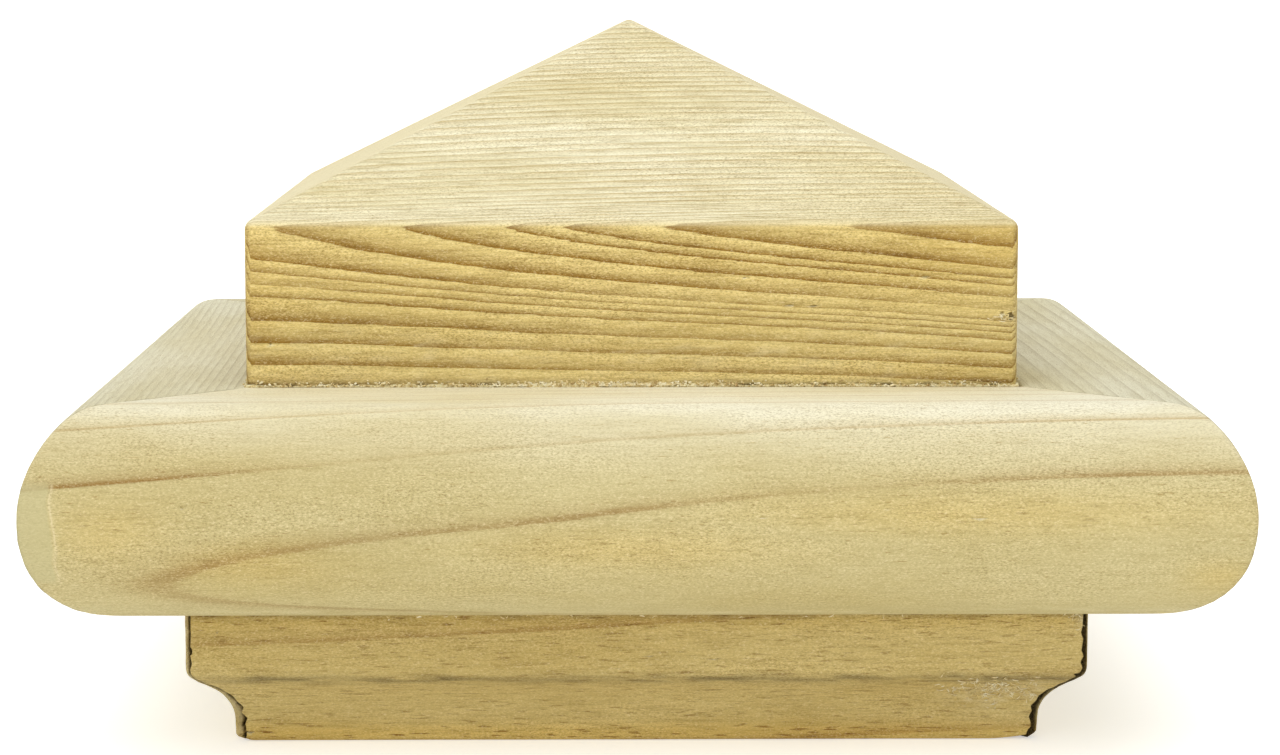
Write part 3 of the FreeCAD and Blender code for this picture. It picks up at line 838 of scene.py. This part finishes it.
def wood_material(name, colours, latewood_start, contrast, seed, wobble, streaks, edge, speckle):
    """Softwood: pale earlywood darkening to a sharp ring end, with fibres, flecks and marks.

    colours is four screen colours, as listed at the top. latewood_start is where in a ring the wood starts
    to darken, contrast is how dark it gets, and edge is how dark the line at the ring's end is. wobble
    roughens the rings. streaks and speckle say how strongly fibres and pores show.
    """
    g = Graph(name)
    up = g.attribute("up")
    upright = g.math("SUBTRACT", 1.0, up)
    latewood = latewood_share(g, latewood_start, contrast, seed, wobble, edge)
    streak = g.fibres(170, 2600, (0, 0, seed), detail=4.0, roughness=0.7)
    speck = g.fibres(3000, 7000, (seed, seed, 0), detail=2.0, roughness=0.8)
    early, late, early_top_sheen, late_top_sheen = (linear(*colour) for colour in colours)
    # Faces that look up take the paler colours: painted sheen.
    colour = g.mix(latewood, g.mix(up, early, early_top_sheen), g.mix(up, late, late_top_sheen))
    colour = g.mix(g.times(g.attribute("tan"), upright), colour, TAN_TINT, "MULTIPLY")
    colour = with_fibres(g, colour, seed, streak, streaks, speck, speckle)
    g.set("Base Color", with_marks(g, colour, speck, upright))

    roughness = g.math("ADD", g.ramp(speck, [(0.2, 0.8), (0.8, 0.62)]), g.times(latewood, -0.08))
    roughness = g.math("SUBTRACT", roughness, g.times(g.attribute("glue_and_bounce"), 0.2))
    g.set("Roughness", roughness)
    g.set("Specular IOR Level", 0.3)
    height = g.math("ADD", g.times(streak, 0.6), g.times(speck, 0.6))
    height = g.math("ADD", height, g.times(latewood, 0.15))
    g.set("Normal", g.bump(height, 0.16 * MM, 0.8))
    return g.material


def latewood_share(g, start, contrast, seed, wobble, edge):
    """How dark the rings make each point: a slow darkening through each ring, and a line at its end."""
    jitter = g.fibres(60, 1500, (seed, 0, 0), detail=4.0, roughness=0.6)
    ring = g.math("ADD", g.attribute("ring"), g.times(g.math("SUBTRACT", jitter, 0.5), wobble))
    phase = g.math("FRACT", ring)
    span = 1 - start
    slow = g.ramp(phase, [(0.0, 0.3), (0.035, 0.0), (start, 0.06), (1 - 0.4 * span, 0.55),
                          (1 - 0.16 * span, 0.92), (1 - 0.04 * span, 1.0), (1.0, 0.5)])
    sharp = g.ramp(phase, [(0.0, 0.35), (0.015, 0.0), (0.93, 0.0), (0.975, 1.0), (1.0, 0.7)])
    band = g.attribute("band")
    broken = g.ramp(g.fibres(45, 300, (0, seed, seed)), [(0.3, 0.25), (0.6, 1.0)])
    strength = g.math("ADD", 0.4 * edge, g.times(band, 0.6 * edge))
    line = g.times(sharp, g.times(broken, strength))
    return g.math("ADD", g.times(slow, g.times(band, contrast)), line, clamp=True)


def with_fibres(g, colour, seed, streak, streaks, speck, speckle):
    """The colour with cloudy patches, streaks, pores, dashes in the tan wood and dark flecks over it."""
    tan = g.attribute("tan")
    cloud = g.ramp(g.fibres(22, 90, (seed, 0, seed)), [(0.4, 0.0), (0.7, 0.9)])
    colour = g.mix(cloud, colour, linear(*CLOUD_TINT), "MULTIPLY")
    streaky = g.math("ADD", streaks, g.times(tan, 0.5), clamp=True)
    colour = g.mix(streaky, colour, g.ramp(streak, STREAK_TINT), "MULTIPLY")
    coarse = g.ramp(g.fibres(40, 130, (seed, 0, 0)), [(0.42, 0.5), (0.6, 1.0)])
    colour = g.mix(g.times(coarse, speckle), colour, g.ramp(speck, SPECK_TINT), "MULTIPLY")
    dashes = g.ramp(g.fibres(420, 3600, (seed, seed, 0), detail=1.5), [(0.6, 0.0), (0.69, 0.85)])
    colour = g.mix(g.times(dashes, tan), colour, linear(*DASH_TINT), "MULTIPLY")
    flecks = g.ramp(g.fibres(650, 6500, (seed, 0, -seed), detail=1.0), [(0.68, 0.0), (0.76, 0.7)])
    return g.mix(flecks, colour, linear(*FLECK_TINT), "MULTIPLY")


def with_marks(g, colour, speck, upright):
    """The colour with lint, bare fibre and painted highlights, glue and painted bounce light, and dirt and
    painted shade over it.
    """
    lint = g.times(g.ramp(speck, [(0.56, 0.0), (0.68, 0.4)]), upright)
    pale = g.times(g.attribute("pale"), g.ramp(speck, [(0.35, 0.45), (0.6, 1.0)]))
    colour = g.mix(g.math("MAXIMUM", pale, lint), colour, linear(*BARE_FIBRE_AND_HIGHLIGHT))
    colour = g.mix(g.times(g.attribute("glue_and_bounce"), 0.65), colour, linear(*GLUE_FILM_AND_BOUNCE))
    # Dirt and painted shade darken the colour together.
    dirt_and_shade = g.times(g.attribute("stain_and_shade"), g.ramp(speck, [(0.3, 1.0), (0.65, 0.7)]))
    return g.mix(dirt_and_shade, colour, linear(*DIRT_AND_SHADE))


def steel_material(name):
    """Galvanised brad wire with faint drawing marks."""
    g = Graph(name)
    coordinates = g.tree.nodes.new("ShaderNodeTexCoord").outputs["Object"]
    marks = g.noise(g.stretch(coordinates, (2000, 2000, 2000)), detail=4.0)
    g.set("Base Color", g.ramp(marks, [(0.3, (0.35, 0.35, 0.34)), (0.7, (0.6, 0.6, 0.58))]))
    g.set("Roughness", g.ramp(marks, [(0.3, 0.5), (0.7, 0.3)]))
    g.set("Metallic", 1.0)
    return g.material


def glue_material(name):
    """Dried glue: cream, with sawdust and dirt held in it."""
    g = Graph(name)
    grit = g.fibres(2600, 2600, detail=3.0, roughness=0.75)
    colour = g.ramp(grit, [(0.3, linear(96, 70, 34)), (0.42, linear(196, 170, 104)),
                           (0.55, linear(232, 220, 170)), (0.75, linear(206, 204, 160))])
    g.set("Base Color", colour)
    g.set("Roughness", g.ramp(grit, [(0.3, 0.75), (0.7, 0.4)]))
    g.set("Normal", g.bump(grit, 0.2 * MM, 0.8))
    return g.material


def sawdust_material(name, darkest):
    """Loose chips and fibres: from the darkest shade up to cream, each a little different."""
    g = Graph(name)
    tone = g.fibres(900, 900, detail=2.0, roughness=0.7)
    fibre = g.fibres(3000, 9000, detail=2.0)
    colour = g.ramp(tone, [(0.3, linear(*darkest)), (0.45, linear(226, 204, 142)),
                           (0.6, linear(250, 242, 208))])
    colour = g.mix(1.0, colour, g.ramp(fibre, [(0.3, 0.8), (0.6, 1.0)]), "MULTIPLY")
    g.set("Base Color", colour)
    g.set("Roughness", g.ramp(fibre, [(0.2, 0.85), (0.8, 0.6)]))
    g.set("Normal", g.bump(fibre, 0.1 * MM, 0.6))
    return g.material


# ---------- glue, sawdust and torn fibre

def foot_path(count):
    """Points round the foot of the block's sides, and the outward direction at each."""
    corner = np.linspace(0, 4, count, endpoint=False)
    side, along = corner.astype(int), (corner % 1) * 2 - 1
    one = np.ones(count)
    sides = [side == 0, side == 1, side == 2]
    square = np.column_stack([np.select(sides, [along, one, -along], -one),
                              np.select(sides, [-one, along, one], -along)])
    outward = np.where(np.abs(square) > 0.995, np.sign(square), 0.0)
    outward /= np.hypot(*outward.T)[:, None]
    return np.column_stack([square * HALF, np.full(count, LEDGE)]), outward


def glue_bead(material):
    """Glue squeezed out along the foot of the block, thick and thin by turns."""
    around, arc = 1400, 9
    spine, outward = foot_path(around)
    x, y, _ = spine.T
    lump = noise(spine, (1.1, 1.1, 1), 81) + 0.7 * noise(spine, (5, 5, 1), 82)
    rich = 0.5 * near(x, -2, 10) * (y < -45 * MM)
    size = np.clip(0.30 + 0.16 * lump + rich * 0.5, 0.06, 0.8) * MM
    lengthwise = []
    for number in range(arc):
        angle = math.pi / 2 * (number / (arc - 1) * 1.3 - 0.15)
        reach = size * math.cos(angle) - 0.05 * MM
        rise = size * (0.9 + 0.4 * noise(spine, (0.6, 0.6, 1), 83 + number)) * math.sin(angle)
        lengthwise.append(spine + np.column_stack([outward * reach[:, None], rise]))
    inside = np.full(around, 0.3 * MM)
    lengthwise.append(spine - np.column_stack([outward * inside[:, None], inside]))
    points = np.stack(lengthwise, axis=1).reshape(-1, 3)
    points[:, 0] += BLOCK_SHIFT
    obj = mesh_object("glue_squeeze", points, grid_faces(around, arc + 1, closed=True), material)
    face_outwards(obj)
    set_attribute(obj, "grain", vertex_array(obj))
    obj.data.shade_smooth()
    return obj


def sliver(work, centre, along, length, width, rng):
    """One bent, tapering splinter made of three rings of four corners and two tips."""
    along = Vector(along).normalized()
    side = along.cross(Vector(rng.normal(size=3))).normalized()
    lift = along.cross(side)
    bend = rng.uniform(-0.25, 0.25) * length
    rings = []
    for t in (-0.6, 0.0, 0.6):
        middle = Vector(centre) + along * (t * length / 2) + lift * (bend * (1 - t * t))
        wide = width * (1 - 0.45 * abs(t)) / 2
        rings.append([work.verts.new(middle + side * (wide * a) + lift * (wide * 0.6 * b))
                      for a, b in ((1, 1), (-1, 1), (-1, -1), (1, -1))])
    tips = [work.verts.new(Vector(centre) + along * (t * length / 2)) for t in (-1.0, 1.0)]
    for first, second in zip(rings, rings[1:]):
        for k in range(4):
            work.faces.new((first[k], second[k], second[(k + 1) % 4], first[(k + 1) % 4]))
    for k in range(4):
        work.faces.new((tips[0], rings[0][k], rings[0][(k + 1) % 4]))
        work.faces.new((tips[1], rings[-1][(k + 1) % 4], rings[-1][k]))


def sawdust(material):
    """Crumbs and short splinters lying in the corner at the block's foot, mostly at the front."""
    rng = np.random.default_rng(5)
    work = bmesh.new()
    for _ in range(SPLINTERS):
        face = rng.choice(4, p=(0.7, 0.1, 0.1, 0.1))
        place = rng.uniform(-45, 45) if rng.random() < 0.55 else rng.normal(-2, 7)
        place = float(np.clip(place, -45.5, 45.5))
        climb = abs(rng.normal(0, 0.28))
        out = HALF / MM + 0.12 + abs(rng.normal(0, 0.22)) + (0.0 if climb > 0.25 else 0.15)
        size = rng.uniform(0.08, 0.26)
        centre = Matrix.Rotation(face * math.pi / 2, 3, "Z") @ Vector((place, -out, 0)) * MM
        centre += Vector((BLOCK_SHIFT, 0, LEDGE + (climb + size / 3) * MM))
        direction = rng.normal(size=3) * (1.0, 1.0, 0.4)
        sliver(work, centre, direction, size * rng.uniform(1.0, 3.0) * MM, size * MM, rng)
    return fibre_object("sawdust", work, material)


def raised_fibres(material):
    """Fuzzy fibres that the cutter tore up on the front skirt, the chip and the right mitre."""
    rng = np.random.default_rng(9)
    work = bmesh.new()
    for count, centre, spread, usual_length, on_skirt in FIBRE_PATCHES:
        for _ in range(count):
            place = np.array(centre) + rng.normal(size=3) * spread
            if on_skirt:
                place[0] = min(place[0], 47.4)
                place[1] = -skirt_across(place[2] * MM) / MM - 0.08
            direction = rng.normal(size=3) * (1.6, 0.25, 0.8)
            length = usual_length * rng.uniform(0.5, 1.3) * MM
            sliver(work, place * MM, direction, length, rng.uniform(0.07, 0.15) * MM, rng)
    return fibre_object("raised_fibres", work, material)


def fibre_object(name, work, material):
    bmesh.ops.recalc_face_normals(work, faces=work.faces)
    mesh = bpy.data.meshes.new(name)
    work.to_mesh(mesh)
    work.free()
    mesh.materials.append(material)
    obj = add_object(name, mesh)
    set_attribute(obj, "grain", vertex_array(obj))
    return obj


# ---------- the pieces

BLOCK_TIMBER = Timber(
    pith=(-110.7, 75.4), lean=(3.1, 4.1), bend=(1.5, -4.2),
    twist=(-0.7, -1.1), reach=46, flare=(0.02, 0.09), wander=0.05, seed=3,
    start=65.35, years=(0.75, 0.4, 0.25, 0.5, 0.6, 0.55, 0.25, 0.3, 0.35, 0.75, 0.8, 0.9, 1.15, 1.25, 1.0,
                        1.2, 1.5, 1.5, 1.35, 1.1, 1.65, 1.6, 1.6, 1.65, 1.1, 1.25, 1.3, 1.25, 1.2, 1.0))

FRONT_TIMBER = Timber(
    pith=(53.5, 92.2), lean=(7.5, -6.0), bend=(-3.9, 4.8),
    twist=(0, -0.4), reach=70, wander=0.06, seed=11,
    start=108.0, years=(1.8, 2.2, 2.5, 2.8, 3.7, 5.0, 5.9, 5.8, 7.3, 6.0))

RIGHT_TIMBER = Timber(
    pith=(60, 20), lean=(1.2, -3), bend=(0.8, 2), twist=(0, 0),
    reach=70, wander=0.12, seed=25, start=110, years=(1.7, 2.3, 1.9, 1.4, 2.6, 2.0))

BACK_TIMBER = Timber(
    pith=(-140, 10), lean=(-4, 5), bend=(2, 4), twist=(0, 0),
    reach=70, wander=0.15, seed=31, start=90, years=(2.0, 2.4, 2.2, 2.6, 3.0))

LEFT_TIMBER = Timber(
    pith=(75, 70), lean=(1.5, 3), bend=(-1.2, 2), twist=(0, 0),
    reach=70, wander=0.1, seed=41, start=125, years=(0.9, 1.1, 0.8, 1.3, 1.0))

block_wood = wood_material("block_pine", BLOCK_COLOURS, latewood_start=0.25, contrast=1.0, seed=3.7,
                           wobble=0.3, streaks=0.8, edge=0.3, speckle=0.9)
front_wood = wood_material("front_pine", FRONT_COLOURS, latewood_start=0.78, contrast=0.8, seed=9.1,
                           wobble=0.03, streaks=0.3, edge=0.5, speckle=0.72)
side_wood = wood_material("side_pine", SIDE_COLOURS, latewood_start=0.5, contrast=0.7, seed=17.3,
                          wobble=0.12, streaks=0.4, edge=0.3, speckle=0.8)
steel = steel_material("brad_steel")

# Each moulding's side, turn about Z, wood, mitre gaps at the rim and the band (left, then right) and look.
SIDES = [
    ("front", 0, FRONT_TIMBER, ((1.3, 0.6), (1.0, 0.68)), front_wood),
    ("right", 90, RIGHT_TIMBER, ((0.1, 0.1), (0.35, 0.25)), side_wood),
    ("back", 180, BACK_TIMBER, ((0.3, 0.2), (0.3, 0.2)), side_wood),
    ("left", 270, LEFT_TIMBER, ((0.3, 0.2), (0.1, 0.05)), side_wood),
]

block_piece = block("pyramid_block_wood", BLOCK_TIMBER, block_wood)
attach(block_piece, "root")
for side, turn, timber, gaps, material in SIDES:
    piece = moulding(side, math.radians(turn), timber, gaps, material)
    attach(piece, "root")
for name in ("mitre_brads", "block_brads"):
    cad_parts[name].data.materials.clear()
    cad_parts[name].data.materials.append(steel)

residue = [
    glue_bead(glue_material("dried_glue")),
    sawdust(sawdust_material("sawdust", (150, 108, 48))),
    raised_fibres(sawdust_material("pale_fibre", (232, 214, 150))),
]
for piece in residue:
    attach(piece, "root")


# ---------- floor, light and camera

def floor():
    """A plain pale floor that glows a little, and more where the camera sees it, so that it looks white."""
    g = Graph("pale_floor")
    g.set("Base Color", (0.9, 0.9, 0.89, 1))
    g.set("Roughness", 0.9)
    g.set("Emission Color", (1, 1, 1, 1))
    seen = g.tree.nodes.new("ShaderNodeLightPath").outputs["Is Camera Ray"]
    glow = g.math("ADD", FLOOR_GLOW, g.times(seen, FLOOR_GLOW_SEEN))
    g.set("Emission Strength", glow)
    corners = [(FLOOR_REACH * a, FLOOR_REACH * b, 0) for a, b in ((-1, -1), (1, -1), (1, 1), (-1, 1))]
    obj = mesh_object("floor", corners, [(0, 1, 2, 3)], g.material)
    obj.location.z = -0.05 * MM


def sky():
    """Even white light from all round."""
    world = bpy.data.worlds.new("studio")
    world.use_nodes = True
    background = world.node_tree.nodes["Background"]
    background.inputs["Color"].default_value = (1, 1, 1, 1)
    background.inputs["Strength"].default_value = SKY
    bpy.context.scene.world = world


def sun(name, towards, strength, spread):
    """A soft light from the given direction, spread over an angle in degrees."""
    light = bpy.data.lights.new(name, "SUN")
    light.energy, light.angle = strength, math.radians(spread)
    add_object(name, light).rotation_euler = Vector(towards).to_track_quat("Z", "Y").to_euler()


def camera():
    data = bpy.data.cameras.new("camera")
    data.lens = CAMERA_LENS
    obj = add_object("camera", data)
    obj.location = CAMERA_PLACE
    obj.rotation_euler = (math.radians(90 - CAMERA_DOWN), 0, math.radians(CAMERA_TURN))
    bpy.context.scene.camera = obj


floor()
sky()
sun("overhead", towards=(-0.1, -0.25, 1.0), strength=1.7, spread=75)
sun("front_fill", towards=(-0.45, -1.0, 0.3), strength=0.5, spread=60)
camera()
bpy.context.scene.view_settings.view_transform = "Standard"
